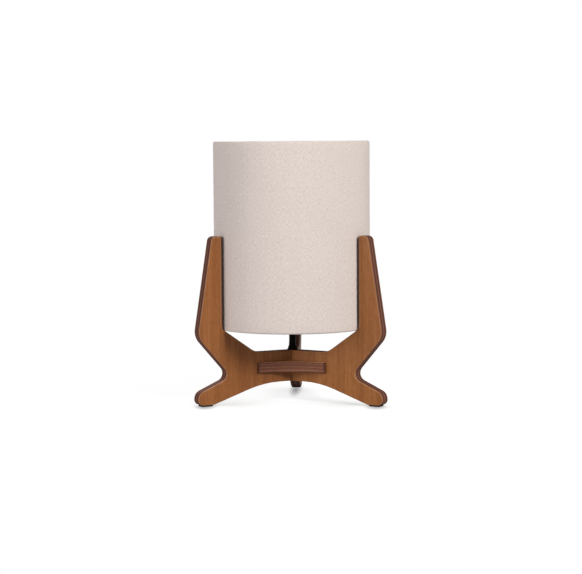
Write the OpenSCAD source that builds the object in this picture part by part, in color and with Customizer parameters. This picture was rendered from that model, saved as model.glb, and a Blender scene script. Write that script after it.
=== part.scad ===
// Table lamp: three plywood legs, a three-armed brace and a drum shade that sits among them.
// Millimetres, +Z up. The origin is at the middle of the lamp's footprint, on the surface that it
// stands on. The rear leg points along +Y from the lamp's axis, and the front legs at 120 degrees
// to either side of it, so the axis lies a little in front of the origin.

/* [Shade] */
// Outside diameter of the drum, away from its seam
shade_d = 209.6; // [190:0.2:230]
// Height of the drum, over its rolled edges
shade_h = 250; // [200:1:300]
// Thickness of the linen cover
cover_t = 0.5; // [0.3:0.1:0.8]
// Thickness of the stiff liner that the linen is bonded to
liner_t = 0.5; // [0.3:0.1:0.8]
// Diameter of the wire rings in the rolled edges
ring_d = 3.2; // [2.5:0.1:4]
// Width of the lapped seam
seam_w = 12; // [8:1:20]
// How far the lapped seam stands proud of the drum
seam_t = 0.3; // [0.2:0.05:0.4]
// Direction of the seam around the axis, in degrees from +X
seam_turn = 124; // [110:1:170]
// Clearance over the bulb's top when the shade is lifted right off
shade_clear = 16; // [5:1:60]

/* [Legs] */
// Thickness of the leg boards
leg_t = 15; // [10:0.5:18]
// Height of the hub's underside, at the crown of the arch
hub_bottom_z = 26.5; // [24:0.5:30]
// Height of the hub's top
hub_top_z = 68; // [64:0.5:72]
// Radius where the hub's top turns up towards the shelf
hub_top_r = 58.5; // [50:0.5:65]
// Height of the shelf corner, where each leg carries the shade
shelf_z = 101.6; // [95:0.2:106]
// Height of the uprights above the shelf corner
upright_h = 122.9; // [90:0.1:150]
// Width of an upright at its tip
upright_tip_w = 14.5; // [12:0.5:18]
// Width of an upright at its elbow
elbow_w = 36; // [32:0.5:42]
// Depth of the elbow below the shelf corner
elbow_drop = 9.2; // [4:0.2:12]
// Radius from the axis to the waist's sharp corner
waist_r = 95.5; // [90:0.5:102]
// Height of the waist's sharp corner
waist_z = 38; // [34:0.5:42]
// Reach of the foot from the axis
foot_r = 143.6; // [136:0.2:155]
// Height of the foot's sharp upper corner
toe_z = 17.6; // [17:0.2:22]
// Radius where the arch comes down to the foot's flat
heel_r = 120.5; // [112:0.5:122]
// Half width of the arch's level crown, to its sharp corner
crown_r = 47; // [40:1:54]

/* [Leg corners] */
// Corner radius between the crown and the slope of the arch
crown_fillet = 150; // [60:5:160]
// Corner radius at the heel
heel_fillet = 3; // [1:0.5:6]
// Corner radius under the toe
toe_fillet = 7; // [4:0.5:7]
// Corner radius on top of the toe
instep_fillet = 12; // [8:0.5:12]
// Corner radius in the waist
waist_fillet = 10.3; // [6:0.1:14]
// Corner radius outside the elbow
elbow_fillet = 22; // [12:1:30]
// Corner radius outside the upright's tip
tip_fillet = 7; // [4:0.5:9]
// Corner radius inside the upright's tip
tip_inner_fillet = 2; // [1:0.5:3]
// Corner radius where the hub's top meets the slope
hub_fillet = 30; // [15:1:40]

/* [Brace] */
// Thickness of the brace board
brace_t = 15; // [12:0.5:18]
// Reach of the brace's arms from the axis
brace_arm_r = 57; // [50:0.5:64]
// Width of the brace's arms at their ends
brace_arm_w = 22; // [20:0.5:28]
// Distance from the axis to the middle of each hollow side
brace_waist_r = 25.5; // [22:0.5:30]
// Radius at which the halved joint between a leg and the brace changes over
lap_r = 30; // [26:0.5:36]

/* [Feet] */
// Thickness of the foot pads
pad_t = 2; // [1:0.25:4]
// Length of the foot pads
pad_l = 16; // [12:0.5:18]
// Distance from the toe's tip in to the middle of each pad
pad_inset = 13.6; // [13:0.2:16]
// Margin of bare board on each side of a pad
pad_margin = 1.25; // [0.25:0.25:2]
// Corner radius of the pads
pad_fillet = 1; // [0.5:0.25:3]

/* [Stem] */
// Outside diameter of the stem tube
stem_d = 9; // [8.6:0.1:11]
// Diameter of the tube's turned and threaded ends
stem_thread_d = 8; // [7.4:0.1:8.4]
// Bore of the stem tube, which the cord passes through
stem_bore_d = 6; // [5:0.1:6.4]
// Height of the lampholder's base above the hub
stem_rise = 40; // [34:1:60]
// Diameter of the flared collar where it sits on the hub
collar_d = 14.4; // [12:0.2:18]
// Diameter of the flared collar at its top
collar_top_d = 10.2; // [9.8:0.1:12]
// Height of the flared collar
collar_h = 5.8; // [5:0.2:9]
// Thickness of the collar under the stem's shoulder
collar_floor = 2; // [1:0.5:3]
// Width across the flats of the captive nut
nut_af = 13; // [12:0.5:15]
// Thickness of the captive nut
nut_t = 5; // [3:0.5:7]
// Outside diameter of the bush at the cord inlet
bush_d = 9.6; // [9.2:0.1:11]
// Length of the bush
bush_l = 6; // [4:0.5:10]
// Thickness of the bush's lip below the tube's end
bush_lip = 1.5; // [1:0.25:2.5]
// Bore of the bush's lip
bush_bore_d = 6.6; // [6.4:0.1:7.2]

/* [Lampholder] */
// Outside diameter of the lampholder
holder_d = 38; // [36:0.5:42]
// Wall thickness of the lampholder's cap and sleeve
holder_wall = 2; // [1.5:0.1:2.2]
// Diameter of the cap's neck
neck_d = 16; // [14:0.5:18]
// Length of the cap's neck
neck_h = 8; // [7:0.5:10]
// Height of the cap up to the sleeve
cap_h = 26; // [24:0.5:32]
// Height of the cap's straight wall, above its dome
cap_wall_h = 8; // [6:0.5:10]
// Height of the cap's floor above its neck
cap_floor = 1; // [0.5:0.25:2]
// Overlap of the sleeve on the cap's spigot
spigot_h = 5; // [4:0.5:8]
// Thickness of the insulating insert
insert_t = 13; // [10:0.5:16]
// Bore of the sleeve that the bulb screws into
socket_d = 27.4; // [26.9:0.1:28]
// Height of the sleeve's rim above the insert
socket_h = 24; // [22:0.5:28]
// Diameter of the grub screw that locks the stem
grub_d = 3; // [2.5:0.5:4]
// Diameter of the two terminal screws
terminal_d = 3; // [2.5:0.5:3.5]
// Distance from the axis to each terminal screw
terminal_r = 9; // [8:0.5:10]
// Height of the centre contact above the insert
contact_rise = 2.6; // [2:0.1:4]
// Thickness of the contact strips
contact_t = 0.3; // [0.2:0.05:0.4]
// Width of the contact strips
contact_w = 5; // [3:0.5:6]

/* [Bulb] */
// Diameter of the bulb's globe
globe_d = 60; // [55:1:65]
// Length of the bulb from its tip contact to its top
bulb_h = 108; // [104:1:116]
// Wall thickness of the globe
globe_t = 1.2; // [0.8:0.1:2]
// Outside diameter of the screw cap
screw_d = 26; // [25.6:0.1:26.4]
// Height of the screw cap's top above the tip contact
screw_top = 26.5; // [25:0.5:28]
// Height of the screw cap's lower edge above the tip contact
screw_bottom = 4.3; // [4:0.1:6]
// Wall thickness of the screw cap
screw_wall = 0.6; // [0.4:0.1:0.8]
// Diameter of the tip contact
tip_d = 9; // [8:0.5:10]
// Thickness of the tip contact
tip_t = 1.2; // [1:0.1:1.6]
// Diameter of the insulator's flat, round the tip contact
insulator_d = 12; // [11:0.5:14]
// Diameter of the collar where the globe starts
bulb_collar_d = 48; // [44:1:52]
// Wall thickness of the bulb's collar
bulb_collar_t = 2.2; // [2:0.1:2.6]
// Height of the globe's lower edge above the tip contact
globe_bottom = 52; // [48:0.5:56]
// Thickness of the board with the light sources
board_t = 1.2; // [1:0.1:2]
// Number of light sources on the board
chips = 10; // [6:1:14]
// Pitch of the screw thread, seven turns to the inch
thread_pitch = 3.629; // [3.4:0.001:3.9]
// Number of turns that free the bulb
thread_turns = 4.5; // [4:0.25:5]

/* [Clearances] */
// Gap between the drum and the inner edge of each upright
shade_play = 2.6; // [0.6:0.1:4]
// Gap between the shade's lower edge and the legs' slopes
seat_gap = 0.2; // [0.1:0.05:0.4]
// Gap between a wire ring and the linen rolled round it
ring_gap = 0.3; // [0.3:0.05:0.5]
// Gap on each face of the halved joints
lap_gap = 0.1; // [0.05:0.05:0.3]
// Gap of the bond between the linen and its liner
bond_gap = 0.1; // [0.1:0.05:0.2]
// Gap between mating faces that are glued or pressed
glue_gap = 0.05; // [0.02:0.01:0.1]
// Radial gap of the stem in the hub's bore
bore_gap = 0.15; // [0.1:0.05:0.3]
// Gap between the bulb and the lampholder's contacts
contact_gap = 0.25; // [0.2:0.05:0.4]

/* [Hidden] */
$fn = 96;

// Directions of the legs
rear_turn = 90;
front_left_turn = 210;
front_right_turn = 330;
leg_turns = [rear_turn, front_left_turn, front_right_turn];

// Angle that one step of a rounded corner turns through, in degrees
corner_step = 5;
// Extra length of a cutting shape past the face that it cuts
cut = 1;

// Colours
board_face = [0.56, 0.35, 0.21];
board_edge = [0.42, 0.29, 0.23];
black_paint = [0.07, 0.07, 0.07];
black_rubber = [0.10, 0.10, 0.10];
black_plastic = [0.12, 0.12, 0.12];
zinc = [0.70, 0.70, 0.72];
brass = [0.76, 0.62, 0.35];
porcelain = [0.90, 0.88, 0.84];
opal = [0.96, 0.96, 0.94];
ring_white = [0.93, 0.93, 0.91];
linen = [0.87, 0.82, 0.79];

// Shade: its rolled edges sit on the slopes of the legs, beside the uprights
shade_r = shade_d / 2;
upright_in_r = shade_r + shade_play;
roll_r = ring_d / 2 + ring_gap + cover_t;
roll_centre_r = shade_r - roll_r;
shelf_slope = atan2(shelf_z - hub_top_z, upright_in_r - hub_top_r);
roll_inset = (upright_in_r - roll_centre_r) * sin(shelf_slope);
shade_z = shelf_z + (roll_r + seat_gap - roll_inset) / cos(shelf_slope) - roll_r;
shade_top_z = shade_z + shade_h;
liner_end = 2 * roll_r + glue_gap;

// Feet
pad_r = foot_r - pad_inset;

// Hub and brace
brace_z = (hub_bottom_z + hub_top_z - brace_t) / 2;
stem_bore_r = stem_thread_d / 2 + bore_gap;

// Stem
stem_bottom_z = hub_bottom_z + bush_lip;
stem_shoulder_z = hub_top_z + collar_floor;
holder_z = hub_top_z + stem_rise;
stem_top_z = holder_z + neck_h + cap_floor;
thread_r = stem_thread_d / 2 + glue_gap;

// Lampholder
holder_r = holder_d / 2;
spigot_r = holder_r - holder_wall;
insert_r = spigot_r - glue_gap;
insert_z = holder_z + cap_h + spigot_h;
insert_top_z = insert_z + insert_t;
rim_z = insert_top_z + socket_h;

// Bulb
bulb_z = insert_top_z + contact_rise + contact_gap;
globe_r = globe_d / 2;
screw_r = screw_d / 2;
screw_bore_r = screw_r - screw_wall - glue_gap;

// Travels: the shade lifts off over the bulb, and the bulb rises as it unscrews
shade_travel = bulb_z + bulb_h + shade_clear - shade_z;
bulb_rise = thread_pitch * thread_turns;

echo(shade_z = shade_z, shade_top_z = shade_top_z, shade_travel = shade_travel);
echo(brace_z = brace_z, stem_bottom_z = stem_bottom_z, stem_top_z = stem_top_z);
echo(holder_z = holder_z, rim_z = rim_z, bulb_z = bulb_z, bulb_rise = bulb_rise);

// The lamp's axis stands in front of the origin, because the rear foot reaches behind the shade
axis_y = (shade_r - foot_r) / 2;

// Places what is drawn about the Z axis on the lamp's axis
module on_axis(turn = 0) {
    translate([0, axis_y, 0]) rotate([0, 0, turn]) children();
}

function unit(v) = v / norm(v);

// Points of the corner at b, rounded to radius r, between its neighbours a and c
function rounded_corner(a, b, c, r) =
    r == 0 ? [b] :
    let (
        u = unit(a - b),
        v = unit(c - b),
        half = acos(u * v) / 2,
        centre = b + unit(u + v) * r / sin(half),
        from = b + u * r / tan(half) - centre,
        to = b + v * r / tan(half) - centre,
        turn = 180 - 2 * half,
        side = sign(from.x * to.y - from.y * to.x),
        start = atan2(from.y, from.x),
        steps = ceil(turn / corner_step)
    )
    [for (i = [0 : steps]) centre + r * [cos(start + side * turn * i / steps),
                                         sin(start + side * turn * i / steps)]];

// Outline with rounded corners, from a list of [x, y, corner radius]
function rounded(points) =
    let (n = len(points), xy = [for (p = points) [p[0], p[1]]])
    [for (i = [0 : n - 1])
        each rounded_corner(xy[(i + n - 1) % n], xy[i], xy[(i + 1) % n], points[i][2])];

// Outline of a leg, as distance from the axis and height
leg_outline = rounded([
    [0, hub_bottom_z, 0],
    [crown_r, hub_bottom_z, crown_fillet],
    [heel_r, pad_t, heel_fillet],
    [foot_r, pad_t, toe_fillet],
    [foot_r, toe_z, instep_fillet],
    [waist_r, waist_z, waist_fillet],
    [upright_in_r + elbow_w, shelf_z - elbow_drop, elbow_fillet],
    [upright_in_r + upright_tip_w, shelf_z + upright_h, tip_fillet],
    [upright_in_r, shelf_z + upright_h, tip_inner_fillet],
    [upright_in_r, shelf_z, 0],
    [hub_top_r, hub_top_z, hub_fillet],
    [0, hub_top_z, 0]
]);

// One leg along +X. Its inner end is mitred to meet the other two and halved over the brace.
module leg() {
    mitre_x = foot_r + cut;
    mitre_y = mitre_x * tan(60);
    color(board_face)
        difference() {
            intersection() {
                rotate([90, 0, 0]) linear_extrude(leg_t, center = true) polygon(leg_outline);
                translate([glue_gap, 0, 0])
                    linear_extrude(shelf_z + upright_h + cut)
                        polygon([[0, 0], [mitre_x, -mitre_y], [mitre_x, mitre_y]]);
            }
            translate([-cut, -leg_t / 2 - cut, brace_z - lap_gap])
                cube([lap_r + lap_gap + cut, leg_t + 2 * cut, brace_t + 2 * lap_gap]);
            cylinder(h = hub_top_z + cut, r = stem_bore_r);
            cylinder(h = hub_bottom_z + bush_l + glue_gap, d = bush_d + 2 * glue_gap);
        }
}

module leg_rear() {
    on_axis(rear_turn) leg();
}

module leg_front_left() {
    on_axis(front_left_turn) leg();
}

module leg_front_right() {
    on_axis(front_right_turn) leg();
}

// Plan of the brace: the ends of three arms, joined by hollow arcs
module brace_plan() {
    end_x = brace_arm_r * sin(60) - brace_arm_w / 2 * cos(60);
    end_y = brace_arm_r * cos(60) + brace_arm_w / 2 * sin(60);
    hollow = end_y - brace_waist_r;
    hollow_r = (end_x * end_x + hollow * hollow) / (2 * hollow);
    difference() {
        polygon([for (turn = leg_turns, side = [-1, 1])
            [[cos(turn), -sin(turn)], [sin(turn), cos(turn)]] * [brace_arm_r, side * brace_arm_w / 2]]);
        for (turn = leg_turns)
            rotate([0, 0, turn + 60]) translate([brace_waist_r + hollow_r, 0]) circle(hollow_r);
    }
}

// The brace is halved over the legs, and a captive nut is let into its underside
module brace_star() {
    color(board_edge) on_axis()
        difference() {
            translate([0, 0, brace_z]) linear_extrude(brace_t) brace_plan();
            for (turn = leg_turns)
                rotate([0, 0, turn])
                    translate([lap_r, -leg_t / 2 - lap_gap, brace_z - cut])
                        cube([brace_arm_r, leg_t + 2 * lap_gap, brace_t + 2 * cut]);
            translate([0, 0, brace_z - cut]) cylinder(h = brace_t + 2 * cut, r = stem_bore_r);
            translate([0, 0, brace_z - cut]) hexagon(nut_af + 2 * glue_gap, nut_t + glue_gap + cut);
        }
}

// Six-sided prism, by its width across the flats
module hexagon(across_flats, height) {
    cylinder(h = height, d = across_flats / cos(30), $fn = 6);
}

// One self-adhesive pad along +X, on the foot's flat
module foot_pad() {
    half_w = leg_t / 2 - pad_margin;
    color(black_rubber)
        linear_extrude(pad_t)
            polygon(rounded([
                [pad_r - pad_l / 2, -half_w, pad_fillet],
                [pad_r + pad_l / 2, -half_w, pad_fillet],
                [pad_r + pad_l / 2, half_w, pad_fillet],
                [pad_r - pad_l / 2, half_w, pad_fillet]
            ]));
}

module foot_pad_rear() {
    on_axis(rear_turn) foot_pad();
}

module foot_pad_front_left() {
    on_axis(front_left_turn) foot_pad();
}

module foot_pad_front_right() {
    on_axis(front_right_turn) foot_pad();
}

// Steel tube, turned down at both ends, from the cord inlet to the lampholder
module stem_tube() {
    color(black_paint) on_axis()
        difference() {
            union() {
                translate([0, 0, stem_bottom_z])
                    cylinder(h = stem_top_z - stem_bottom_z, d = stem_thread_d);
                translate([0, 0, stem_shoulder_z])
                    cylinder(h = holder_z - stem_shoulder_z, d = stem_d);
            }
            translate([0, 0, stem_bottom_z - cut])
                cylinder(h = stem_top_z - stem_bottom_z + 2 * cut, d = stem_bore_d);
        }
}

// Flared collar that the stem's shoulder pulls down on the hub
module stem_collar() {
    color(black_paint) on_axis()
        difference() {
            translate([0, 0, hub_top_z]) cylinder(h = collar_h, d1 = collar_d, d2 = collar_top_d);
            translate([0, 0, hub_top_z - cut]) cylinder(h = collar_h, r = thread_r);
            translate([0, 0, stem_shoulder_z]) cylinder(h = collar_h, d = stem_d + 2 * glue_gap);
        }
}

// Nut let into the brace, which draws the stem down
module stem_nut() {
    color(zinc) on_axis()
        difference() {
            translate([0, 0, brace_z + glue_gap]) hexagon(nut_af, nut_t - glue_gap);
            translate([0, 0, brace_z - cut]) cylinder(h = nut_t + 2 * cut, r = thread_r);
        }
}

// Bush round the tube's lower end, whose lip guards the cord
module cord_bush() {
    color(black_plastic) on_axis()
        translate([0, 0, hub_bottom_z])
            difference() {
                cylinder(h = bush_l, d = bush_d);
                translate([0, 0, bush_lip]) cylinder(h = bush_l, r = thread_r);
                translate([0, 0, -cut]) cylinder(h = bush_l, d = bush_bore_d);
            }
}

// Cap of the lampholder: a threaded neck, a domed shell and the spigot for the sleeve
module holder_cap() {
    neck_r = neck_d / 2;
    inner_r = spigot_r - holder_wall;
    floor_z = neck_h + cap_floor;
    dome_z = cap_h - cap_wall_h;
    top_z = cap_h + spigot_h;
    dome_fillet = 6;
    neck_fillet = 2;
    edge_fillet = 1;
    color(black_plastic) on_axis()
        difference() {
            translate([0, 0, holder_z])
                rotate_extrude()
                    polygon(rounded([
                        [thread_r, 0, 0],
                        [neck_r, 0, edge_fillet],
                        [neck_r, neck_h, neck_fillet],
                        [holder_r, dome_z, dome_fillet],
                        [holder_r, cap_h, 0],
                        [spigot_r - glue_gap, cap_h, 0],
                        [spigot_r - glue_gap, top_z, 0],
                        [inner_r, top_z, 0],
                        [inner_r, dome_z, dome_fillet - holder_wall],
                        [neck_r, floor_z, edge_fillet],
                        [thread_r, floor_z, 0]
                    ]));
            translate([0, 0, holder_z + neck_h / 2])
                rotate([-90, 0, 0]) cylinder(h = neck_r + cut, d = grub_d);
        }
}

// Sleeve of the lampholder, which screws on the cap and holds the insert down
module holder_sleeve() {
    bottom_z = holder_z + cap_h + glue_gap;
    shelf_under_z = insert_top_z + glue_gap;
    edge_fillet = 0.8;
    color(black_plastic) on_axis()
        rotate_extrude()
            polygon(rounded([
                [spigot_r, bottom_z, 0],
                [holder_r, bottom_z, 0],
                [holder_r, rim_z, edge_fillet],
                [socket_d / 2, rim_z, edge_fillet],
                [socket_d / 2, shelf_under_z, 0],
                [spigot_r, shelf_under_z, 0]
            ]));
}

// Insulating insert, with the holes of the two terminal screws
module holder_insert() {
    color(porcelain) on_axis()
        difference() {
            translate([0, 0, insert_z]) cylinder(h = insert_t, r = insert_r);
            for (side = [-1, 1])
                translate([side * terminal_r, 0, insert_z - cut])
                    cylinder(h = insert_t / 2 + cut, d = terminal_d);
        }
}

// Grub screw in the cap's neck, which locks it on the stem
module grub_screw() {
    socket_af = grub_d / 2;
    grub_l = neck_d / 2 - thread_r - 2 * glue_gap;
    color(zinc) on_axis()
        translate([0, thread_r + glue_gap, holder_z + neck_h / 2])
            rotate([-90, 0, 0])
                difference() {
                    cylinder(h = grub_l, d = grub_d - 2 * glue_gap);
                    translate([0, 0, grub_l - socket_af]) hexagon(socket_af, socket_af + cut);
                }
}

// Two screws that clamp the cord's wires under the insert
module terminal_screws() {
    head_h = terminal_d * 0.6;
    head_d = terminal_d * 1.8;
    slot_w = terminal_d / 5;
    shank_l = insert_t / 2 - cut;
    color(brass) on_axis()
        for (side = [-1, 1])
            translate([side * terminal_r, 0, insert_z])
                difference() {
                    union() {
                        translate([0, 0, -head_h]) cylinder(h = head_h, d = head_d);
                        cylinder(h = shank_l, d = terminal_d - 2 * glue_gap);
                    }
                    translate([-head_d, -slot_w / 2, -head_h - cut])
                        cube([2 * head_d, slot_w, head_h / 2 + cut]);
                }
}

// Sprung strip under the bulb's tip contact: a flat tail, a rise and a flat nose
module centre_contact() {
    tail_x = -9;
    bend_x = -5;
    nose_x = 3.5;
    color(brass) on_axis()
        translate([0, 0, insert_top_z])
            rotate([90, 0, 0])
                linear_extrude(contact_w, center = true)
                    polygon([
                        [tail_x, 0],
                        [bend_x, 0],
                        [-nose_x, contact_rise - contact_t],
                        [nose_x, contact_rise - contact_t],
                        [nose_x, contact_rise],
                        [-nose_x - contact_t, contact_rise],
                        [bend_x - contact_t, contact_t],
                        [tail_x, contact_t]
                    ]);
}

// Sprung strip that stands beside the bulb's screw cap
module side_contact() {
    foot_l = 3;
    overlap_h = 4;
    outer_r = screw_r + contact_gap + contact_t;
    height = bulb_z + screw_bottom + overlap_h - insert_top_z;
    color(brass) on_axis()
        translate([0, 0, insert_top_z])
            intersection() {
                difference() {
                    cylinder(h = height, r = outer_r);
                    translate([0, 0, contact_t]) cylinder(h = height, r = outer_r - contact_t);
                    translate([0, 0, -cut]) cylinder(h = height, r = outer_r - foot_l);
                }
                translate([0, -contact_w / 2, 0]) cube([holder_r, contact_w, height]);
            }
}

// Solder dome under the bulb
module bulb_tip() {
    color(zinc) on_axis()
        translate([0, 0, bulb_z])
            rotate_extrude()
                polygon(rounded([
                    [0, 0, 0],
                    [tip_d / 2, 0, tip_t / 2],
                    [tip_d / 2, tip_t, 0],
                    [0, tip_t, 0]
                ]));
}

// Insulator between the tip contact and the screw cap
module bulb_insulator() {
    spigot_top = screw_bottom + 2.5;
    color(black_plastic) on_axis()
        translate([0, 0, bulb_z])
            rotate_extrude()
                polygon([
                    [0, tip_t + 2 * glue_gap],
                    [insulator_d / 2, tip_t + 2 * glue_gap],
                    [screw_r - screw_wall / 2, screw_bottom],
                    [screw_bore_r, screw_bottom],
                    [screw_bore_r, spigot_top],
                    [0, spigot_top]
                ]);
}

// Threaded metal shell of the bulb's cap
module bulb_screw_cap() {
    screw_l = screw_top - screw_bottom;
    color(zinc) on_axis()
        translate([0, 0, bulb_z + screw_bottom + glue_gap])
            difference() {
                cylinder(h = screw_l, r = screw_r);
                translate([0, 0, -cut]) cylinder(h = screw_l + 2 * cut, r = screw_r - screw_wall);
            }
}

// Plastic collar that holds the bulb's driver and carries the globe
module bulb_collar() {
    top_r = bulb_collar_d / 2;
    top_z = globe_bottom - glue_gap;
    foot_z = screw_top + 2 * glue_gap;
    spigot_bottom = screw_top - 4;
    bend_r = screw_r + 2;
    bend_z = screw_top + 5;
    bend_fillet = 12;
    color(opal) on_axis()
        translate([0, 0, bulb_z])
            rotate_extrude()
                polygon(rounded([
                    [screw_bore_r, spigot_bottom, 0],
                    [screw_bore_r, foot_z, 0],
                    [screw_r + screw_wall, foot_z, 0],
                    [bend_r, bend_z, bend_fillet],
                    [top_r, top_z, 0],
                    [top_r - bulb_collar_t, top_z, 0],
                    [bend_r - bulb_collar_t, bend_z, bend_fillet],
                    [screw_bore_r - bulb_collar_t, spigot_bottom, 0]
                ]));
}

// Board with the light sources, on the collar's mouth
module bulb_light_board() {
    board_r = bulb_collar_d / 2 - globe_t - 2 * glue_gap;
    chip_r = board_r * 0.65;
    color(opal) on_axis()
        translate([0, 0, bulb_z + globe_bottom]) {
            cylinder(h = board_t, r = board_r);
            for (i = [0 : chips - 1])
                rotate([0, 0, i * 360 / chips]) translate([chip_r, 0, board_t / 2]) chip();
        }
}

// One light source, from the middle of the board's thickness up
module chip() {
    chip_w = 3;
    chip_t = 0.8;
    translate([-chip_w / 2, -chip_w / 2, 0]) cube([chip_w, chip_w, board_t / 2 + chip_t]);
}

// Profile of the globe, drawn in by inset: a cone that runs into a ball
module globe_profile(inset) {
    ball_r = globe_r - inset;
    centre = [0, bulb_h - globe_r];
    mouth = [bulb_collar_d / 2 - inset, globe_bottom];
    start = mouth - centre;
    touch = atan2(start.y, start.x) + acos(ball_r / norm(start));
    steps = ceil((90 - touch) / corner_step);
    angles = [for (i = [0 : steps]) touch + (90 - touch) * i / steps];
    polygon([[0, globe_bottom], mouth, for (a = angles) centre + ball_r * [cos(a), sin(a)]]);
}

// Opal globe of the bulb
module bulb_globe() {
    color(opal) on_axis()
        translate([0, 0, bulb_z])
            rotate_extrude()
                difference() {
                    globe_profile(0);
                    globe_profile(globe_t);
                }
}

// Wire ring of the shade, at a height
module shade_ring(z) {
    color(ring_white) on_axis() rotate_extrude() translate([roll_centre_r, z]) circle(ring_d / 2);
}

module shade_ring_bottom() {
    shade_ring(shade_z + roll_r);
}

module shade_ring_top() {
    shade_ring(shade_top_z - roll_r);
}

// Stiff liner behind the linen
module shade_liner() {
    outer_r = shade_r - cover_t - bond_gap;
    color(ring_white) on_axis()
        translate([0, 0, shade_z + liner_end])
            difference() {
                cylinder(h = shade_h - 2 * liner_end, r = outer_r);
                translate([0, 0, -cut]) cylinder(h = shade_h, r = outer_r - liner_t);
            }
}

// Profile of the linen rolled round one ring, open on the side of the liner.
// up is 1 at the lower ring and -1 at the upper one.
module roll_profile(z, up) {
    translate([roll_centre_r, z])
        difference() {
            circle(roll_r);
            circle(roll_r - cover_t);
            translate([0, up > 0 ? 0 : -roll_r]) square(roll_r);
        }
}

// Linen cover: one sheet round the drum, rolled inwards round both rings
module shade_cover() {
    bottom = shade_z + roll_r;
    top = shade_top_z - roll_r;
    color(linen) on_axis()
        rotate_extrude() {
            translate([shade_r - cover_t, bottom]) square([cover_t, top - bottom]);
            roll_profile(bottom, 1);
            roll_profile(top, -1);
        }
}

// Lapped seam down the back of the drum
module shade_seam() {
    seam_angle = 2 * asin(seam_w / shade_d);
    color(linen) on_axis()
        rotate([0, 0, seam_turn - seam_angle / 2])
            rotate_extrude(angle = seam_angle)
                translate([shade_r, shade_z + roll_r]) square([seam_t, shade_h - 2 * roll_r]);
}

leg_rear();
leg_front_left();
leg_front_right();
brace_star();
foot_pad_rear();
foot_pad_front_left();
foot_pad_front_right();
stem_tube();
stem_collar();
stem_nut();
cord_bush();
holder_cap();
holder_sleeve();
holder_insert();
grub_screw();
terminal_screws();
centre_contact();
side_contact();
bulb_tip();
bulb_insulator();
bulb_screw_cap();
bulb_collar();
bulb_light_board();
bulb_globe();
shade_ring_bottom();
shade_ring_top();
shade_liner();
shade_cover();
shade_seam();
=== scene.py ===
import math

import bmesh
import bpy
from mathutils import Matrix, Vector


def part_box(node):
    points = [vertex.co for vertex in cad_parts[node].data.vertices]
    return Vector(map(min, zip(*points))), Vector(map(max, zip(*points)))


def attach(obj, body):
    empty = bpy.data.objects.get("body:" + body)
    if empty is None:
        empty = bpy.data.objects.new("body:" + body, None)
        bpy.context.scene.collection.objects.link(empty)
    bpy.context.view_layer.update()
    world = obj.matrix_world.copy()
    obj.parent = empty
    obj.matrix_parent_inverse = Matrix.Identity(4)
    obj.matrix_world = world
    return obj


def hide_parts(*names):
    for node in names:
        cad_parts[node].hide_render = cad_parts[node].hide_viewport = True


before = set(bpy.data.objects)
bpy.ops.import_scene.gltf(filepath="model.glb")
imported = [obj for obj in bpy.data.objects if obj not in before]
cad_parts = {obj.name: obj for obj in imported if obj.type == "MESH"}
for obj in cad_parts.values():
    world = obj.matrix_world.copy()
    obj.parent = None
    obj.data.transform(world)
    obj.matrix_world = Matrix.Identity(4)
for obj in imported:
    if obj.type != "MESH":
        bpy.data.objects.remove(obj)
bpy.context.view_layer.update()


# ---- Camera ------------------------------------------------------------------------------
# A long lens a little above the table and a little to the right of the lamp's front, which
# is where the drum's flat-looking ellipse and the slim sides of the legs place it.
scene = bpy.context.scene
collection = scene.collection

low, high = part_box("stem_tube")
lamp_axis = Vector(((low.x + high.x) / 2, (low.y + high.y) / 2, 0))

# Radians, and metres from the lamp's axis, fitted to the corners of the drum, legs and feet.
camera_yaw = 0.04265
camera_pitch = 0.07895
camera_roll = -0.006246
camera_offset = Vector((-0.001513, -2.4805, 0.34892))

lens = bpy.data.cameras.new("camera")
lens.sensor_width = 36
lens.lens = 114.13
lens.clip_end = 50
camera = bpy.data.objects.new("camera", lens)
collection.objects.link(camera)
camera.matrix_world = (
    Matrix.Translation(lamp_axis)
    @ Matrix.Rotation(camera_yaw, 4, "Z")
    @ Matrix.Translation(camera_offset)
    @ Matrix.Rotation(math.pi / 2 - camera_pitch, 4, "X")
    @ Matrix.Rotation(camera_roll, 4, "Z")
)
scene.camera = camera
scene.view_settings.view_transform = "Standard"


# ---- Studio ------------------------------------------------------------------------------
# A pale table top that runs on past the picture, in a room that is white to the camera. A
# large soft lamp stands high at the front right, a lower one at the left, a weak one behind.
MM = 0.001


def feed(tree, node, inputs):
    """Gives each named input of a node a value, or the socket that feeds it."""
    for name, value in inputs.items():
        if isinstance(value, bpy.types.NodeSocket):
            tree.links.new(value, node.inputs[name])
        else:
            node.inputs[name].default_value = value


def add(tree, kind, inputs={}, **settings):
    """Adds one shader node and feeds its inputs."""
    node = tree.nodes.new(kind)
    for name, value in settings.items():
        setattr(node, name, value)
    feed(tree, node, inputs)
    return node


def math_of(tree, operation, *values):
    """The result of one Math node."""
    return add(tree, "ShaderNodeMath", dict(enumerate(values)), operation=operation).outputs[0]


def ranged(tree, value, low, high, to_low=0.0, to_high=1.0, kind="LINEAR"):
    """A value spread from one range to another, and held at its ends."""
    return add(tree, "ShaderNodeMapRange", {"Value": value, "From Min": low, "From Max": high,
                                            "To Min": to_low, "To Max": to_high},
               interpolation_type=kind).outputs[0]


def blended(tree, share, first, second):
    """Two colours mixed by a share."""
    return add(tree, "ShaderNodeMix", {0: share, 6: first, 7: second},
               data_type="RGBA").outputs[2]


def grey(level):
    """A neutral colour."""
    return (level, level, level, 1)


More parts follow.
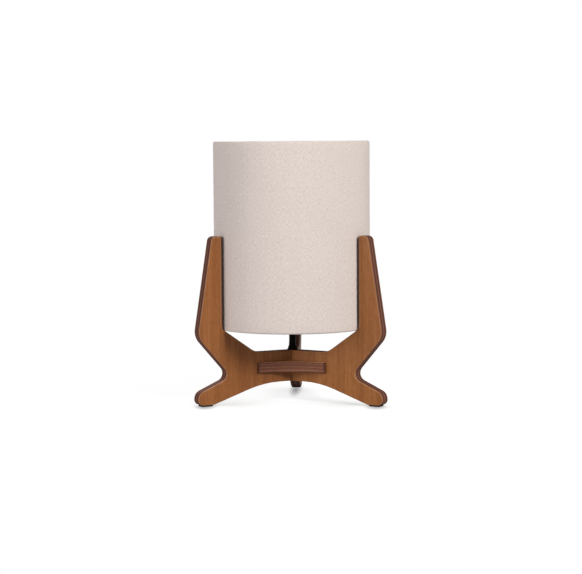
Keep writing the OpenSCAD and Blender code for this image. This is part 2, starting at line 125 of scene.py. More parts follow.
room_light = 0.16
room = bpy.data.worlds.new("room")
scene.world = room
room.use_nodes = True
tree = room.node_tree
tree.nodes.clear()
ambient = add(tree, "ShaderNodeBackground", {"Color": (1, 0.92, 0.90, 1),
                                             "Strength": room_light})
white = add(tree, "ShaderNodeBackground", {"Color": grey(1), "Strength": 1})
to_camera = add(tree, "ShaderNodeLightPath").outputs["Is Camera Ray"]
mixed = add(tree, "ShaderNodeMixShader", {0: to_camera, 1: ambient.outputs[0],
                                          2: white.outputs[0]})
add(tree, "ShaderNodeOutputWorld", {"Surface": mixed.outputs[0]})

# Tones of the table top as the camera sees it, in the open and in the shadows painted under the
# legs and by the feet, the share of the lamps' light that it adds to them, which holds the
# lamp's shadow, and its tone in the light that it throws back up.
open_tone = 0.88
leg_shadow_tone = 0.42
foot_shadow_tone = 0.10
lamp_share = 0.25
bounce_tone = 0.50

table = bpy.data.materials.new("table_top")
table.use_nodes = True
tree = table.node_tree
tree.nodes.clear()
place = add(tree, "ShaderNodeTexCoord").outputs["Object"]

# Painted shadow from the occlusion near it: it is darker where a leg stands low over it, between
# the hub and the foot.
contact_reach = 50 * MM
least_share = 0.15
contact = add(tree, "ShaderNodeAmbientOcclusion", {"Distance": contact_reach}, samples=16)
from_axis = add(tree, "ShaderNodeVectorMath", {0: place, 1: lamp_axis},
                operation="DISTANCE").outputs["Value"]
leg_shadow = math_of(tree, "MULTIPLY",
                    ranged(tree, from_axis, 10 * MM, 75 * MM, least_share, 1.0),
                    ranged(tree, from_axis, 95 * MM, 130 * MM, 1.0, least_share))
leg_shadow = math_of(tree, "MULTIPLY", leg_shadow,
                    math_of(tree, "SUBTRACT", 1.0, contact.outputs["AO"]))
tone = blended(tree, leg_shadow, grey(open_tone), grey(leg_shadow_tone))

# A painted shadow is darkest in front of each foot: how far in front, how many times longer than
# wide, and how far the shadow spreads.
foot_shadow_share = 0.75
foot_shadow = 0.0
for node, forward, longer, spread in (("foot_pad_rear", 34 * MM, 8, 95 * MM),
                                      ("foot_pad_front_left", 8 * MM, 1.7, 36 * MM),
                                      ("foot_pad_front_right", 8 * MM, 1.7, 36 * MM)):
    low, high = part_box(node)
    shift = Vector((0, forward, 0)) - (low + high) / 2
    away = add(tree, "ShaderNodeVectorMath", {0: place, 1: shift}, operation="ADD")
    away = add(tree, "ShaderNodeVectorMath", {0: away.outputs[0], 1: (longer, 1, 1)},
               operation="MULTIPLY")
    away = add(tree, "ShaderNodeVectorMath", {0: away.outputs[0]}, operation="LENGTH")
    foot_shadow = math_of(tree, "MAXIMUM", foot_shadow, ranged(
        tree, away.outputs["Value"], 0.0, spread, foot_shadow_share, 0.0, "SMOOTHSTEP"))
tone = blended(tree, foot_shadow, tone, grey(foot_shadow_tone))

# Away from the lamp it turns bare white to the camera, and from below it is clear.
white_from = 160 * MM
all_white = 340 * MM
glow = add(tree, "ShaderNodeEmission", {"Color": tone, "Strength": 1})
lit = add(tree, "ShaderNodeBsdfDiffuse", {"Color": grey(lamp_share)})
near = add(tree, "ShaderNodeAddShader", {0: lit.outputs[0], 1: glow.outputs[0]})
bare = add(tree, "ShaderNodeEmission", {"Color": grey(1), "Strength": 1})
away = add(tree, "ShaderNodeVectorMath", {0: place}, operation="LENGTH").outputs["Value"]
fade = ranged(tree, away, white_from, all_white, 0.0, 1.0, "SMOOTHSTEP")
seen = add(tree, "ShaderNodeMixShader", {0: fade, 1: near.outputs[0], 2: bare.outputs[0]})
bounce = add(tree, "ShaderNodeBsdfDiffuse", {"Color": grey(bounce_tone)})
to_camera = add(tree, "ShaderNodeLightPath").outputs["Is Camera Ray"]
above = add(tree, "ShaderNodeMixShader", {0: to_camera, 1: bounce.outputs[0],
                                          2: seen.outputs[0]})
from_below = add(tree, "ShaderNodeNewGeometry").outputs["Backfacing"]
clear = add(tree, "ShaderNodeBsdfTransparent", {"Color": grey(1)})
mixed = add(tree, "ShaderNodeMixShader", {0: from_below, 1: above.outputs[0],
                                          2: clear.outputs[0]})
add(tree, "ShaderNodeOutputMaterial", {"Surface": mixed.outputs[0]})

table_half = 20
shape = bmesh.new()
bmesh.ops.create_grid(shape, x_segments=1, y_segments=1, size=table_half)
mesh = bpy.data.meshes.new("table_top")
shape.to_mesh(mesh)
shape.free()
mesh.materials.append(table)
floor = bpy.data.objects.new("table_top", mesh)
collection.objects.link(floor)


aim = lamp_axis + Vector((0, 0, 170 * MM))


def soft_lamp(name, turn, rise, distance, size, power, colour):
    """A square lamp aimed at the object's middle, at degrees to its front's right and up."""
    lamp = bpy.data.lights.new(name, "AREA")
    lamp.shape = "SQUARE"
    lamp.size = size
    lamp.energy = power
    lamp.color = colour
    way = (Matrix.Rotation(math.radians(turn), 3, "Z")
           @ Matrix.Rotation(math.radians(-rise), 3, "X") @ Vector((0, -1, 0)))
    holder = bpy.data.objects.new(name, lamp)
    holder.location = aim + way * distance
    holder.rotation_euler = way.to_track_quat("Z", "Y").to_euler()
    collection.objects.link(holder)


soft_lamp("key_lamp", turn=45, rise=32, distance=6, size=2.2, power=279,
          colour=(1.0, 0.995, 0.975))
soft_lamp("fill_lamp", turn=-56, rise=12, distance=6, size=3.7, power=186,
          colour=(1.0, 0.99, 1.01))
soft_lamp("back_lamp", turn=200, rise=38, distance=3.6, size=1.3, power=32,
          colour=(1.0, 1.0, 1.0))


# ---- Legs --------------------------------------------------------------------------------
# Three boards of stained birch plywood, sawn to one outline with the face grain upright.
# Their arrises are rounded over and sanded, so the stain is thinner and paler there, and that
# paler colour also paints their highlight.
# Inside, each is mitred to the other two and halved over the brace.
def new_group(name, inputs, outputs):
    """An empty node group with its sockets, its input node and its output node."""
    tree = bpy.data.node_groups.new(name, "ShaderNodeTree")
    for way, sockets in (("INPUT", inputs), ("OUTPUT", outputs)):
        for label, kind in sockets.items():
            tree.interface.new_socket(label, in_out=way, socket_type="NodeSocket" + kind)
    return tree, add(tree, "NodeGroupInput"), add(tree, "NodeGroupOutput")


def stretched_noise(tree, vector, stretch, detail=2.0, roughness=0.5):
    """Noise of so many cells to the metre each way. The fewer they are, the longer."""
    scaled = add(tree, "ShaderNodeVectorMath", {0: vector, 1: stretch}, operation="MULTIPLY")
    return add(tree, "ShaderNodeTexNoise", {"Vector": scaled.outputs[0], "Scale": 1.0,
                                            "Detail": detail, "Roughness": roughness}).outputs[0]


# Grain of a board. Its coordinates are metres across the grain, into the board and along it.
wood_grain, given, result = new_group(
    "wood_grain", {"Board": "Vector"},
    {"Bands": "Float", "Lines": "Float", "Pores": "Float", "Height": "Float"})
tree = wood_grain
wander_width = 20 * MM
wander = stretched_noise(tree, given.outputs["Board"], (9, 9, 3.0), detail=1.0)
shift = add(tree, "ShaderNodeCombineXYZ",
            {"X": math_of(tree, "MULTIPLY", math_of(tree, "SUBTRACT", wander, 0.5),
                          wander_width)})
bent = add(tree, "ShaderNodeVectorMath", {0: given.outputs["Board"], 1: shift.outputs[0]},
           operation="ADD").outputs[0]
bands = ranged(tree, stretched_noise(tree, bent, (70, 70, 3.2), detail=3.0, roughness=0.55),
               0.3, 0.7)
mottle = ranged(tree, stretched_noise(tree, bent, (330, 330, 110)), 0.3, 0.7, -0.16, 0.16)
bands = math_of(tree, "ADD", bands, mottle)
lines = ranged(tree, stretched_noise(tree, bent, (620, 620, 11), detail=3.0, roughness=0.6),
               0.28, 0.72)
pores = ranged(tree, stretched_noise(tree, bent, (2300, 2300, 130), detail=1.0), 0.62, 0.72)
relief = math_of(tree, "SUBTRACT", math_of(tree, "MULTIPLY", lines, 0.5), pores)
feed(tree, result, {"Bands": bands, "Lines": lines, "Pores": pores, "Height": relief})

# Plies of a board, which show where the saw cut it. Every second one shows its end grain.
ply_layers, given, result = new_group(
    "ply_layers", {"Board": "Vector", "Half": "Float", "Ply": "Float"},
    {"Core": "Float", "End grain": "Float", "Shade": "Float", "Glue": "Float"})
tree = ply_layers
ply_waver = 0.3 * MM
face_veneer = 0.6 * MM
parts = add(tree, "ShaderNodeSeparateXYZ", {0: given.outputs["Board"]})
wave = stretched_noise(tree, given.outputs["Board"], (25, 0, 25), detail=1.0)
depth = math_of(tree, "ADD", parts.outputs["Y"],
                math_of(tree, "MULTIPLY", math_of(tree, "SUBTRACT", wave, 0.5), ply_waver))
inner = math_of(tree, "SUBTRACT", given.outputs["Half"], math_of(tree, "ABSOLUTE", depth))
count = math_of(tree, "ADD", math_of(tree, "DIVIDE", depth, given.outputs["Ply"]), 0.5)
layer = math_of(tree, "FLOOR", count)
to_joint = math_of(tree, "PINGPONG", count, 0.5)
feed(tree, result, {
    "Core": ranged(tree, inner, face_veneer, 1.5 * face_veneer),
    "End grain": math_of(tree, "PINGPONG", layer, 1.0),
    "Shade": add(tree, "ShaderNodeTexWhiteNoise", {"W": layer},
                 noise_dimensions="1D").outputs["Value"],
    "Glue": ranged(tree, to_joint, 0.04, 0.12, 1.0, 0.0)})


def group_of(tree, group, **inputs):
    """Places a node group in a material and gives its outputs."""
    return add(tree, "ShaderNodeGroup", inputs, node_tree=group).outputs


def veiled(tree, under, mask, share, colour):
    """A colour under a share of another one, where a mask lets that through."""
    return blended(tree, math_of(tree, "MULTIPLY", mask, share), under, colour)


def new_material(name):
    """A material with a Principled shader, and its node tree."""
    material = bpy.data.materials.new(name)
    material.use_nodes = True
    tree = material.node_tree
    tree.nodes.clear()
    shader = add(tree, "ShaderNodeBsdfPrincipled")
    add(tree, "ShaderNodeOutputMaterial", {"Surface": shader.outputs[0]})
    return material, tree, shader


def stained_plywood(name, half, ply, light_ply, dark_ply, tone=1.0, inner_edge=None):
    """Plywood under walnut stain and satin lacquer. It reads the board's own attributes: the
    place in the board, and arris, which is 1 on a sanded arris, paler there from wear and a
    painted highlight, and -1 where painted shade darkens it.
    A painted highlight and painted shade run along an inner edge, which is given as a place
    across and along."""
    pale_band = (0.400 * tone, 0.157 * tone, 0.052, 1)
    deep_band = (0.270 * tone, 0.095 * tone, 0.027, 1)
    fine_line = (0.22 * tone, 0.070 * tone, 0.018, 1)
    pore = (0.09, 0.028, 0.008, 1)
    odd_ply = (0.120, 0.046, 0.030, 1)
    saw_line = (0.10, 0.038, 0.024, 1)
    glue_line = (0.040, 0.014, 0.010, 1)
    wear_and_highlight_stain = (0.52, 0.29, 0.17, 1)
    inner_edge_shade = (0.045, 0.014, 0.006, 1)
    dark_edge_shade = (0.03, 0.011, 0.007, 1)

    material, tree, shader = new_material(name)
    board = add(tree, "ShaderNodeAttribute", attribute_name="board").outputs["Vector"]
    arris = add(tree, "ShaderNodeAttribute", attribute_name="arris").outputs["Fac"]
    grain = group_of(tree, wood_grain, Board=board)
    plies = group_of(tree, ply_layers, Board=board, Half=half, Ply=ply)

    face = blended(tree, grain["Bands"], deep_band, pale_band)
    face = veiled(tree, face, grain["Lines"], 0.58, fine_line)
    face = veiled(tree, face, grain["Pores"], 0.6, pore)
    edge = blended(tree, plies["End grain"], (*light_ply, 1), (*dark_ply, 1))
    edge = veiled(tree, edge, plies["Shade"], 0.3, odd_ply)
    edge = veiled(tree, edge, grain["Lines"], 0.5, saw_line)
    edge = veiled(tree, edge, plies["Glue"], 0.7, glue_line)
    wood = blended(tree, plies["Core"], face, edge)

    wear_and_highlight = math_of(tree, "MULTIPLY", arris, ranged(tree, grain["Bands"], 0.0, 1.0, 0.22, 0.42))
    # Along the inner edge, a pale line on the face is a painted highlight, and the dark band at
    # the very edge is painted shade.
    if inner_edge:
        across, up = inner_edge
        parts = add(tree, "ShaderNodeSeparateXYZ", {0: board}).outputs
        above = ranged(tree, parts["Z"], up, up + 6 * MM)
        inner_highlight = ranged(tree, parts["X"], across + 2.4 * MM, across + 3.4 * MM, 0.45, 0.0)
        inner_shade = ranged(tree, parts["X"], across + 1.6 * MM, across + 2.2 * MM, 0.85, 0.0)
        wear_and_highlight = math_of(tree, "MAXIMUM", wear_and_highlight, math_of(tree, "MULTIPLY", inner_highlight, above))
    # Wear and a painted highlight make the sanded arrises paler.
    wood = blended(tree, wear_and_highlight, wood, wear_and_highlight_stain)
    if inner_edge:
        wood = veiled(tree, wood, inner_shade, above, inner_edge_shade)
    # Where arris is -1 the wood is darkened as painted shade.
    wood = veiled(tree, wood, arris, -0.6, dark_edge_shade)

    rough = math_of(tree, "MAXIMUM", ranged(tree, grain["Lines"], 0.0, 1.0, 0.42, 0.52),
                    math_of(tree, "MULTIPLY", plies["Core"], 0.65))
    lacquer = ranged(tree, plies["Core"], 0.0, 1.0, 0.4, 0.0)
    bump = add(tree, "ShaderNodeBump", {"Strength": 0.35, "Distance": 0.12 * MM,
                                        "Height": grain["Height"]})
    feed(tree, shader, {"Base Color": wood, "Roughness": rough, "Specular IOR Level": 0.1,
                        "Coat Weight": lacquer, "Coat Roughness": 0.22, "Coat IOR": 1.4,
                        "Normal": bump.outputs[0]})
    return material


def solid_copy(node):
    """A merged copy of a solid from the frame, with its flat faces whole again."""
    shape = bmesh.new()
    shape.from_mesh(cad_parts[node].data)
    bmesh.ops.remove_doubles(shape, verts=shape.verts, dist=2e-6)
    bmesh.ops.dissolve_limit(shape, angle_limit=0.01, verts=shape.verts, edges=shape.edges)
    return shape


def rounded_over(shape, edges, width, steps, clamp=False):
    """Rounds edges over to a width and gives the faces that this makes."""
    return bmesh.ops.bevel(shape, geom=edges, offset=width, offset_type="OFFSET",
                           segments=steps, profile=0.5, affect="EDGES", material=-1,
                           clamp_overlap=clamp)["faces"]


def as_piece(shape, name, body, slot, material, *nodes, smooth=40):
    """Makes the object of a finished shape, in place of the solids that it stands for. The
    solids' own normals go, because they don't fit edges that were rounded since."""
    mesh = bpy.data.meshes.new(name)
    shape.to_mesh(mesh)
    shape.free()
    for stale in [a for a in mesh.attributes if a.name == "custom_normal"]:
        mesh.attributes.remove(stale)
    mesh.materials.clear()
    mesh.materials.append(material)
    mesh.shade_smooth()
    mesh.set_sharp_from_angle(angle=math.radians(smooth))
    piece = bpy.data.objects.new(name, mesh)
    collection.objects.link(piece)
    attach(piece, body)
    if nodes:
        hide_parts(*nodes)
    return piece


def even_normals(piece):
    """Keeps broad flat faces flat beside their rounded edges."""
    modifier = piece.modifiers.new("even_normals", "WEIGHTED_NORMAL")
    modifier.keep_sharp = True


def mark_board(shape, rounded, place):
    """Writes each point's place in its board, and where the arrises were sanded."""
    board = shape.verts.layers.float_vector.new("board")
    arris = shape.verts.layers.float.new("arris")
    rounded = set(rounded)
    for vert in shape.verts:
        vert[board] = place(vert.co)
        vert[arris] = 1.0 if all(face in rounded for face in vert.link_faces) else 0.0


# Degrees from +X, and for each leg the tone of its faces and of its sawn edge, which paint light
# and shade: the right leg's faces lighter, the rear leg's sawn edge darker.
leg_turns = {"leg_rear": 90, "leg_front_left": 210, "leg_front_right": 330}
painted_leg_light = ((1.0, 0.7), (1.02, 1.0), (1.18, 1.0))
leg_half = 7.5 * MM
leg_ply = 3 * MM
leg_arris = 1.1 * MM
light_ply = (0.285, 0.132, 0.086)
dark_ply = (0.125, 0.048, 0.031)

# Where the halving joint ends, and where the inner edge of an upright stands and starts.
brace_low, brace_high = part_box("brace_star")
lap_end = 30.3 * MM
lap_play = 0.5 * MM
upright_in = 107.4 * MM
shelf_top = 101.6 * MM

# Each board comes from its own place in the grain, this far from the last one.
grain_across = 0.37
grain_up = 0.9

# How closely a face looks along a direction, or square to it.
along_least = 0.99
square_most = 0.1


def outward_at(turn):
    """The level direction at a number of degrees from +X."""
    return Vector((math.cos(math.radians(turn)), math.sin(math.radians(turn)), 0))


for count, (node, turn) in enumerate(leg_turns.items()):
    outward = outward_at(turn)
    sideways = Vector((-outward.y, outward.x, 0))

    def is_outline(edge):
        """True for an edge between a side of the board and its sawn outline."""
        sides = sorted(abs(face.normal.dot(sideways)) for face in edge.link_faces)
        middle = (edge.verts[0].co + edge.verts[1].co) / 2
        in_lap = ((middle - lamp_axis).dot(outward) < lap_end
                  and brace_low.z - lap_play < middle.z < brace_high.z + lap_play)
        return (len(sides) == 2 and sides[0] < square_most and sides[1] > along_least
                and not in_lap)

    # These tones are painted light and shade, not the boards' own colour.
    tone, painted_edge_light = painted_leg_light[count]
    plywood = stained_plywood(
        f"stained_plywood_leg_{count + 1}", leg_half, leg_ply,
        [painted_edge_light * part for part in light_ply], [painted_edge_light * part for part in dark_ply],
        tone, (upright_in + grain_across * count, shelf_top + grain_up * count))
    shape = solid_copy(node)
    outline = [edge for edge in shape.edges if is_outline(edge)]
    rounded = rounded_over(shape, outline, leg_arris, steps=4)
    mark_board(shape, rounded, lambda point: (
        (point - lamp_axis).dot(outward) + grain_across * count,
        (point - lamp_axis).dot(sideways), point.z + grain_up * count))
    even_normals(as_piece(shape, node + "_board", "root", "plywood", plywood, node))


# ---- Brace -------------------------------------------------------------------------------
# A three-armed star of the same plywood, laid flat and halved over the legs, with the stem's nut
# let into it from below. Its hollow sides show the plies as level stripes. Its upper arrises are
# sanded pale, which also paints their highlight, and painted shade darkens its lower arrises and
# its ends.
brace_middle = (brace_low.z + brace_high.z) / 2
brace_ply = 2.14 * MM
brace_arris = 1.2 * MM
pocket_clear = 15 * MM
slot_start = 29 * MM
slot_half = leg_half + 0.3 * MM
end_least = 0.95
brace_grain_across = 3.1
brace_grain_along = 2.3


def is_brace_rim(edge):
    """True for an outer edge of the star, away from its slots, its bore and its pocket."""
    levels = sorted(abs(face.normal.z) for face in edge.link_faces)
    middle = (edge.verts[0].co + edge.verts[1].co) / 2 - lamp_axis
    if (len(levels) != 2 or levels[0] > square_most or levels[1] < along_least
            or middle.xy.length < pocket_clear):
        return False
    for turn in leg_turns.values():
        outward = outward_at(turn)
        if middle.dot(outward) > slot_start and abs(outward.cross(middle).z) < slot_half:
            return False
    return True


shape = solid_copy("brace_star")
rim = [edge for edge in shape.edges if is_brace_rim(edge)]
rounded = rounded_over(shape, rim, brace_arris, steps=3)
mark_board(shape, rounded, lambda point: (
    point.y - lamp_axis.y + brace_grain_across, point.z - brace_middle,
    point.x + brace_grain_along))
# Painted shade: the lower arrises and the arms' ends get an arris of -1, which darkens them.
arris = shape.verts.layers.float["arris"]
for vert in shape.verts:
    if vert.co.z < brace_middle:
        vert[arris] *= -1.0
for face in shape.faces:
    if any(face.normal.dot(outward_at(turn)) > end_least for turn in leg_turns.values()):
        for vert in face.verts:
            vert[arris] = -1.0
brace_plywood = stained_plywood("stained_plywood_brace", brace_middle - brace_low.z, brace_ply,
                                (0.37, 0.165, 0.098), (0.245, 0.097, 0.060))
even_normals(as_piece(shape, "brace_board", "root", "plywood", brace_plywood, "brace_star"))


# ---- Foot pads ---------------------------------------------------------------------------
# Self-adhesive pads of black rubber under the toes. They are die-cut, so their edges are
# nearly square, and they are matt and a little dusty.
fine_surface, given, result = new_group(
    "fine_surface", {"Fineness": "Float"}, {"Height": "Float", "Smudge": "Float"})
tree = fine_surface
place = add(tree, "ShaderNodeTexCoord").outputs["Object"]
fine = add(tree, "ShaderNodeTexNoise", {"Vector": place, "Scale": given.outputs["Fineness"],
                                        "Detail": 3.0, "Roughness": 0.6}).outputs[0]
smudge = add(tree, "ShaderNodeTexNoise", {"Vector": place, "Scale": 70.0, "Detail": 3.0,
                                          "Roughness": 0.6}).outputs[0]
feed(tree, result, {"Height": fine, "Smudge": ranged(tree, smudge, 0.35, 0.65)})


def finish(name, colour, second, rough, fineness, depth, metallic=0.0, gloss=0.5):
    """A finish whose colour and roughness drift a little, over a fine uneven surface."""
    material, tree, shader = new_material(name)
    surface = group_of(tree, fine_surface, Fineness=fineness)
    bump = add(tree, "ShaderNodeBump", {"Strength": 0.5, "Distance": depth,
                                        "Height": surface["Height"]})
    feed(tree, shader, {
        "Base Color": blended(tree, surface["Smudge"], (*colour, 1), (*second, 1)),
        "Roughness": ranged(tree, surface["Smudge"], 0.0, 1.0, *rough),
        "Metallic": metallic, "Specular IOR Level": gloss, "Normal": bump.outputs[0]})
    return material


def eased_copy(node, width, steps=2, least=35):
    """A copy of a solid, its outer corners of a least angle in degrees eased to a width."""
    shape = solid_copy(node)
    corners = [e for e in shape.edges if e.is_manifold and e.is_convex
               and e.calc_face_angle() > math.radians(least)]
    rounded_over(shape, corners, width, steps, clamp=True)
    return shape


rubber = finish("pad_rubber", (0.012, 0.012, 0.013), (0.022, 0.021, 0.021),
                rough=(0.72, 0.85), fineness=2200, depth=0.08 * MM, gloss=0.3)
for node in ("foot_pad_rear", "foot_pad_front_left", "foot_pad_front_right"):
    as_piece(eased_copy(node, 0.3 * MM), node + "_rubber", "root", "pad_rubber", rubber, node)


# ---- Stem --------------------------------------------------------------------------------
# A steel tube that carries the lampholder, and the flared collar that it pulls down on the
# hub. Both are stoved satin black.
black_stove = finish("black_stove_enamel", (0.0045, 0.0032, 0.003), (0.005, 0.0035, 0.003),
                     rough=(0.28, 0.36), fineness=900, depth=0.03 * MM, gloss=0.05)
as_piece(eased_copy("stem_tube", 0.25 * MM), "stem", "root", "black_paint", black_stove,
         "stem_tube")
as_piece(eased_copy("stem_collar", 0.5 * MM, steps=3), "stem_flare", "root", "black_paint",
         black_stove, "stem_collar")


# ---- Nut and grub screw ------------------------------------------------------------------
# Zinc-plated fixings: the nut that draws the stem down, let into the brace from below, and
# the screw that locks the lampholder's neck on the stem.
zinc_plate = finish("zinc_plate", (0.62, 0.63, 0.65), (0.50, 0.51, 0.54),
                    rough=(0.28, 0.42), fineness=1500, depth=0.02 * MM, metallic=1.0)
as_piece(eased_copy("stem_nut", 0.4 * MM), "captive_nut", "root", "zinc", zinc_plate,
         "stem_nut")
as_piece(eased_copy("grub_screw", 0.15 * MM), "neck_screw", "root", "zinc", zinc_plate,
         "grub_screw")


# ---- Cord bush and lampholder ------------------------------------------------------------
# Black moulded parts: the bush that guards the cord at the stem's lower end, the
# lampholder's domed cap, which screws on the stem, and its sleeve.
black_moulding = finish("black_moulding", (0.014, 0.014, 0.014), (0.020, 0.020, 0.020),
                        rough=(0.42, 0.52), fineness=1300, depth=0.06 * MM)
for node, name, width in (("cord_bush", "inlet_bush", 0.35 * MM),
                          ("holder_cap", "lampholder_cap", 0.3 * MM),
                          ("holder_sleeve", "lampholder_sleeve", 0.3 * MM)):
    as_piece(eased_copy(node, width), name, "root", "black_plastic", black_moulding, node)


# ---- Insert, terminals and contacts ------------------------------------------------------
# A disc of glazed porcelain holds two brass terminal screws below, and above it the sprung
# brass strips that meet the bulb's tip and its threaded shell.
glaze = finish("porcelain_glaze", (0.78, 0.76, 0.71), (0.72, 0.70, 0.65),
               rough=(0.15, 0.28), fineness=400, depth=0.04 * MM)
brass = finish("brass_strip", (0.72, 0.49, 0.21), (0.58, 0.37, 0.15),
               rough=(0.25, 0.40), fineness=1500, depth=0.02 * MM, metallic=1.0)
as_piece(eased_copy("holder_insert", 0.5 * MM), "porcelain_insert", "root", "porcelain",
         glaze, "holder_insert")
as_piece(eased_copy("terminal_screws", 0.15 * MM), "terminals", "root", "brass", brass,
         "terminal_screws")
for node, name in (("centre_contact", "tip_strip"), ("side_contact", "shell_strip")):
    as_piece(eased_copy(node, 0.05 * MM, steps=1), name, "root", "brass", brass, node)


# ---- Bulb --------------------------------------------------------------------------------
# A screw-in bulb: a solder tip in a black insulator, a rolled nickel-plated shell with the
# thread in it, a white moulded collar, a board with the light sources and an opal globe.
nickel = finish("nickel_plate", (0.60, 0.57, 0.53), (0.50, 0.47, 0.43),
                rough=(0.22, 0.36), fineness=1200, depth=0.02 * MM, metallic=1.0)
solder = finish("solder", (0.55, 0.55, 0.56), (0.44, 0.44, 0.46),
                rough=(0.30, 0.48), fineness=900, depth=0.08 * MM, metallic=1.0)
white_moulding = finish("white_moulding", (0.80, 0.80, 0.78), (0.76, 0.76, 0.74),
                        rough=(0.36, 0.46), fineness=1300, depth=0.04 * MM)
opal = finish("opal_globe", (0.86, 0.86, 0.84), (0.83, 0.83, 0.81),
              rough=(0.26, 0.34), fineness=500, depth=0.02 * MM)
board_white = finish("light_board_white", (0.82, 0.82, 0.80), (0.74, 0.73, 0.62),
                     rough=(0.40, 0.55), fineness=1500, depth=0.04 * MM)

as_piece(eased_copy("bulb_tip", 0.1 * MM), "tip_contact", "bulb_foot", "zinc", solder,
         "bulb_tip")
as_piece(eased_copy("bulb_insulator", 0.2 * MM), "tip_insulator", "bulb", "black_plastic",
         black_moulding, "bulb_insulator")
as_piece(eased_copy("bulb_collar", 0.3 * MM), "collar", "bulb", "white_plastic",
         white_moulding, "bulb_collar")
as_piece(eased_copy("bulb_light_board", 0.15 * MM), "light_board", "bulb", "board_white",
         board_white, "bulb_light_board")
as_piece(solid_copy("bulb_globe"), "globe", "bulb", "opal", opal, "bulb_globe")

thread_pitch = 3.629 * MM
thread_crest = 13 * MM
thread_depth = 0.55 * MM
shell_wall = 0.45 * MM
turn_steps = 40
wave_points = 10
shell_low, shell_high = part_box("bulb_screw_cap")
turns = math.ceil((shell_high.z - shell_low.z) / thread_pitch) + 2
shape = bmesh.new()
wave = []
for i in range(wave_points + 1):
    swing = thread_depth * (0.5 - 0.5 * math.cos(2 * math.pi * i / wave_points))
    wave.append(shape.verts.new(lamp_axis + Vector((
        thread_crest - swing, 0, shell_low.z - thread_pitch * (1 - i / wave_points)))))
for lower, upper in zip(wave, wave[1:]):
    shape.edges.new((lower, upper))
bmesh.ops.spin(shape, geom=shape.verts[:] + shape.edges[:], cent=lamp_axis, axis=(0, 0, 1),
               dvec=(0, 0, thread_pitch / turn_steps), angle=2 * math.pi * turns,
               steps=turn_steps * turns)
bmesh.ops.remove_doubles(shape, verts=shape.verts, dist=2e-5)
for level, facing in ((shell_low.z, -1), (shell_high.z, 1)):
    bmesh.ops.bisect_plane(shape, geom=shape.verts[:] + shape.edges[:] + shape.faces[:],
                           dist=1e-7, plane_co=(0, 0, level), plane_no=(0, 0, facing),
                           clear_outer=True)
bmesh.ops.recalc_face_normals(shape, faces=shape.faces)
if sum((f.calc_center_median() - lamp_axis).xy.dot(f.normal.xy) for f in shape.faces) < 0:
    bmesh.ops.reverse_faces(shape, faces=shape.faces)
shell = as_piece(shape, "threaded_shell", "bulb", "nickel", nickel, "bulb_screw_cap",
                 smooth=60)
wall = shell.modifiers.new("wall", "SOLIDIFY")
wall.thickness = shell_wall
wall.offset = -1


# ---- Shade frame -------------------------------------------------------------------------
# Two rings of white-enamelled wire hold the drum round, and a stiff white sheet behind the
# linen keeps its wall straight and lets the light through evenly.
white_enamel = finish("white_enamel", (0.80, 0.80, 0.78), (0.76, 0.76, 0.73),
                      rough=(0.30, 0.40), fineness=1200, depth=0.03 * MM)
liner_sheet = finish("liner_sheet", (0.84, 0.83, 0.80), (0.80, 0.79, 0.76),
                     rough=(0.50, 0.60), fineness=700, depth=0.03 * MM)
for node, material in (("shade_ring_bottom", white_enamel), ("shade_ring_top", white_enamel),
                       ("shade_liner", liner_sheet)):
    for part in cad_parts[node].material_slots:
        part.material = material


# ---- Shade cover -------------------------------------------------------------------------
# One rectangle of natural linen. It is bonded round the liner with its ends lapped at the
# back, and its long edges are rolled inwards round the two rings.
drum_low, drum_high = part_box("shade_cover")
drum_r = (drum_high.x - drum_low.x) / 2
roll_r = 2.4 * MM
cloth_t = 0.4 * MM
lap_width = 12 * MM
lap_turn = 124
lap_step = 0.42 * MM
lap_rise = 2 * MM
roll_steps = 14
wall_steps = 24
round_steps = 184

roll_length = 1.5 * math.pi * roll_r
wall_length = drum_high.z - drum_low.z - 2 * roll_r
cut_width = 2 * math.pi * drum_r + lap_width
lap_start = 2 * math.pi * drum_r - lap_rise / 2


def across_profile(length):
    """Radius, height and facing of the cloth at a length from its lower edge."""
    if length < roll_length:
        turn, level = (length - roll_length) / roll_r, drum_low.z + roll_r
    elif length > roll_length + wall_length:
        turn, level = (length - roll_length - wall_length) / roll_r, drum_high.z - roll_r
    else:
        return drum_r, drum_low.z + roll_r + length - roll_length, 0.0
    return (drum_r - roll_r + roll_r * math.cos(turn), level + roll_r * math.sin(turn), turn)


rows = [roll_length * i / roll_steps for i in range(roll_steps)]
rows += [roll_length + wall_length * i / wall_steps for i in range(wall_steps)]
rows += [roll_length + wall_length + roll_length * i / roll_steps
         for i in range(roll_steps + 1)]
shape = bmesh.new()
bmesh.ops.create_grid(shape, x_segments=round_steps, y_segments=len(rows) - 1, size=1)
cloth_place = shape.loops.layers.uv.new("cloth")
flat = {}
for vert in shape.verts:
    row = round((vert.co.y + 1) / 2 * (len(rows) - 1))
    flat[vert] = ((vert.co.x + 1) / 2 * cut_width, rows[row])
for face in shape.faces:
    for loop in face.loops:
        loop[cloth_place].uv = flat[loop.vert]

# The cloth's far end lies over its start, a full step proud on the wall and less in the rolls.
for vert, (around, length) in flat.items():
    radius, level, facing = across_profile(length)
    lapped = min(1.0, max(0.0, (around - lap_start) / lap_rise))
    proud = lap_step * lapped * (0.35 + 0.65 * max(0.0, math.cos(facing)) ** 2)
    radius += proud * math.cos(facing)
    level += proud * math.sin(facing)
    turn = math.radians(lap_turn) + (around - lap_width / 2) / drum_r
    vert.co = lamp_axis + Vector((radius * math.cos(turn), radius * math.sin(turn), level))

thread = 0.48 * MM
pale_thread = (0.936, 0.836, 0.784, 1)
dark_thread = (0.680, 0.597, 0.556, 1)
thin_bar = (0.62, 0.54, 0.50, 1)
between_threads = (0.52, 0.43, 0.385, 1)

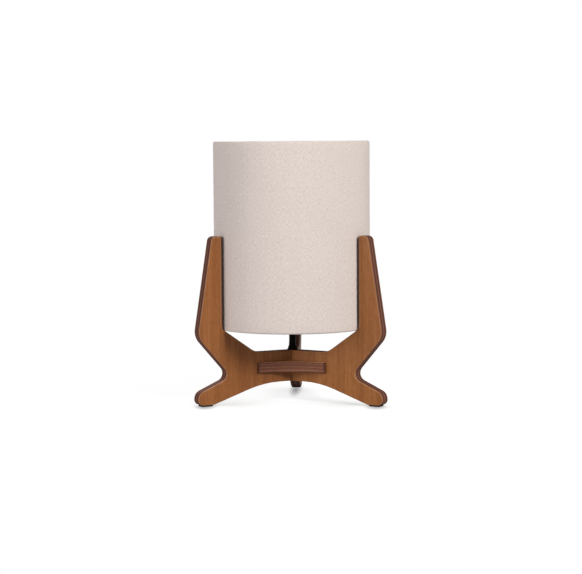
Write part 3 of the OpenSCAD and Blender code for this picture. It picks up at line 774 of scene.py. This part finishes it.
linen, tree, shader = new_material("natural_linen")
place = add(tree, "ShaderNodeUVMap", uv_map="cloth").outputs[0]
parts = add(tree, "ShaderNodeSeparateXYZ", {0: place}).outputs
ways = [math_of(tree, "MULTIPLY", parts[along], math.pi / thread) for along in ("X", "Y")]
warp, weft = [math_of(tree, "ABSOLUTE", math_of(tree, "SINE", way)) for way in ways]
checker = math_of(tree, "MULTIPLY", *[
    math_of(tree, "SINE", math_of(tree, "MULTIPLY", way, 0.5)) for way in ways])
over = ranged(tree, checker, -0.25, 0.25)
weave = add(tree, "ShaderNodeMix", {0: over, 2: warp, 3: weft}, data_type="FLOAT").outputs[0]
slub_up = stretched_noise(tree, place, (1500, 260, 1), roughness=0.7)
slub_round = stretched_noise(tree, place, (260, 1500, 1), roughness=0.7)
bars_up = stretched_noise(tree, place, (420, 6, 1), roughness=0.6)
bars_round = stretched_noise(tree, place, (6, 400, 1), roughness=0.6)
patches = stretched_noise(tree, place, (22, 22, 1), roughness=0.6)
slubs = math_of(tree, "ADD", slub_up, slub_round)
bars = math_of(tree, "ADD", math_of(tree, "ADD", bars_up, bars_round), patches)
cloth = blended(tree, ranged(tree, slubs, 0.8, 1.25), dark_thread, pale_thread)
cloth = blended(tree, ranged(tree, bars, 1.2, 1.8, 0.17, 0.0), cloth, thin_bar)
cloth = blended(tree, ranged(tree, weave, 0.0, 0.45, 0.35, 0.0), cloth, between_threads)
height = math_of(tree, "ADD", weave, math_of(tree, "MULTIPLY", slubs, 0.8))
bump = add(tree, "ShaderNodeBump", {"Strength": 0.6, "Distance": 0.12 * MM, "Height": height})
feed(tree, shader, {"Base Color": cloth, "Roughness": 0.9, "Specular IOR Level": 0.2,
                    "Sheen Weight": 0.15, "Sheen Roughness": 0.5, "Normal": bump.outputs[0]})

cover = as_piece(shape, "linen_cover", "shade", "linen", linen, "shade_cover", "shade_seam",
                 smooth=60)
thickness = cover.modifiers.new("cloth_thickness", "SOLIDIFY")
thickness.thickness = cloth_t
thickness.offset = -1
